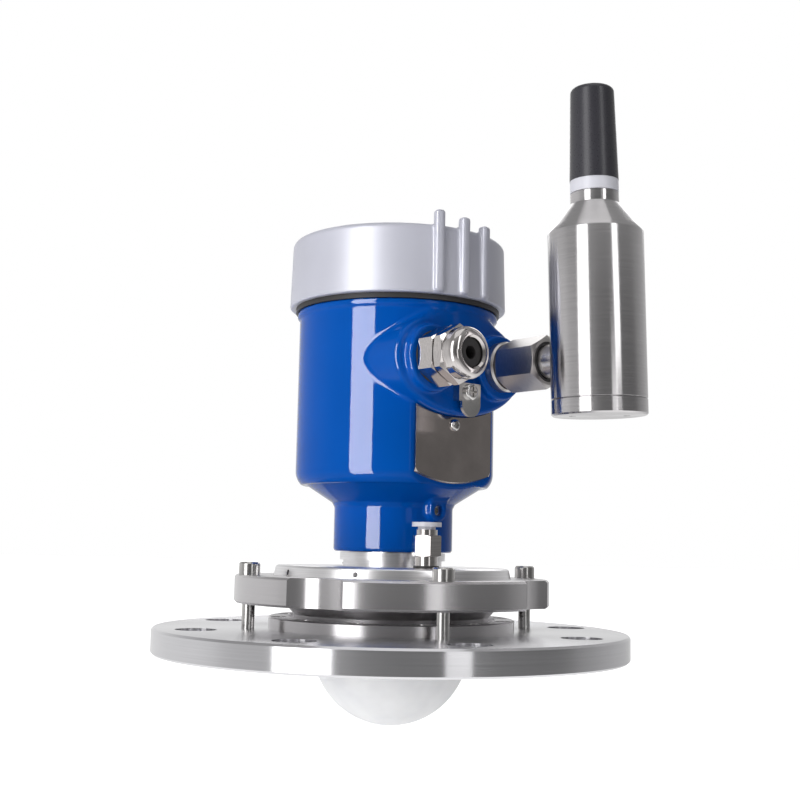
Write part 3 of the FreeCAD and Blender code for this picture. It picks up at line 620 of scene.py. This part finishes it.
softbox("left_softbox", -39.2, distance=1.6, size=(0.74, 2.4), lift=0.15, radiance=4.2, shine=2.8,
        gloss=((housing_skin, 46.0), (cover_skin, 12.5)))
softbox("right_strip", 29, distance=1.6, size=(0.33, 0.62), lift=-0.03, radiance=1.2, shine=1.2)
softbox("high_strip", 39.0, distance=1.6, size=(0.34, 1.3), lift=0.93, radiance=0.7, shine=2.7)
softbox("top_softbox", 0, distance=1.8, size=(1.4, 1.4), lift=0, radiance=1.0, shine=0.6, tilt=75)
softbox("back_softbox", 170, distance=2.0, size=(1.6, 1.0), lift=0, radiance=1.5, shine=1.5, tilt=35)

# The studio round the object is white to the camera. In reflections it is darkest in front and to the right, and pale
# to the left and behind: the curve gives its strength from the brightest way, 0, to the darkest, 1. It goes over to
# high_strength far above the horizon, and to low_strength far below
darkest_way = (0.616, -0.788, 0)
strengths = ((0.0, 1.00), (0.15, 0.95), (0.30, 0.70), (0.50, 0.60), (0.75, 0.38), (0.87, 0.21), (1.0, 0.20))
high_strength, high_from, high_to = 0.45, 0.25, 0.70
low_strength, low_from, low_to = 1.5, -0.15, -0.70
world = bpy.data.worlds.new("studio")
bpy.context.scene.world = world
world.use_nodes = True
studio = Nodes(world.node_tree)
seen = studio.tree.nodes["Background"]
seen.inputs["Color"].default_value = (1, 1, 1, 1)
seen.inputs["Strength"].default_value = 1.0
mirrored = studio.add("Background")
way = studio.add("TexCoord").outputs["Generated"]
darkness = studio.add("VectorMath", operation="DOT_PRODUCT")
darkness.inputs[1].default_value = darkest_way
studio.link(way, darkness.inputs[0])
ramp = studio.add("FloatCurve")
curve = ramp.mapping.curves[0]
for spot, value in strengths:
    point = curve.points.new(spot, value) if 0 < spot < 1 else curve.points[0 if spot == 0 else -1]
    point.location = (spot, value)
ramp.mapping.update()
studio.link(studio.span(darkness.outputs["Value"], 0, 1, -1, 1), ramp.inputs["Value"])
parts = studio.add("SeparateXYZ")
studio.link(way, parts.inputs[0])
strength = ramp.outputs["Value"]
for end, start, stop in ((high_strength, high_from, high_to), (low_strength, low_from, low_to)):
    mix = studio.add("Mix")
    mix.inputs["B"].default_value = end
    studio.link(studio.span(parts.outputs["Z"], 0, 1, start, stop), mix.inputs["Factor"])
    studio.link(strength, mix.inputs["A"])
    strength = mix.outputs["Result"]
studio.link(strength, mirrored.inputs["Strength"])
blend = studio.add("MixShader")
studio.link(studio.add("LightPath").outputs["Is Camera Ray"], blend.inputs[0])
studio.link(mirrored.outputs[0], blend.inputs[1])
studio.link(seen.outputs[0], blend.inputs[2])
studio.link(blend.outputs[0], studio.tree.nodes["World Output"].inputs["Surface"])
bpy.context.scene.view_settings.view_transform = "Standard"

# Camera, fitted to the ellipses of the photograph, with its focal length in pixels of that picture
camera_at = Vector((-0.0042, -0.6008, 0.0522))
pitch, yaw, roll = math.radians(6.789), math.radians(0.600), math.radians(1.171)
focal_px, image_px, sensor_mm = 1220.03, 800, 36.0
forward = Vector((math.sin(yaw) * math.cos(pitch), math.cos(yaw) * math.cos(pitch), math.sin(pitch)))
level_right = Vector((math.cos(yaw), -math.sin(yaw), 0))
level_up = level_right.cross(forward)
right = level_right * math.cos(roll) + level_up * math.sin(roll)
up = level_up * math.cos(roll) - level_right * math.sin(roll)
camera_data = bpy.data.cameras.new("camera")
camera_data.sensor_width = sensor_mm
camera_data.lens = focal_px / image_px * sensor_mm
camera = bpy.data.objects.new("camera", camera_data)
camera.matrix_world = Matrix((right, up, -forward)).transposed().to_4x4()
camera.matrix_world.translation = camera_at
bpy.context.scene.collection.objects.link(camera)
bpy.context.scene.camera = camera
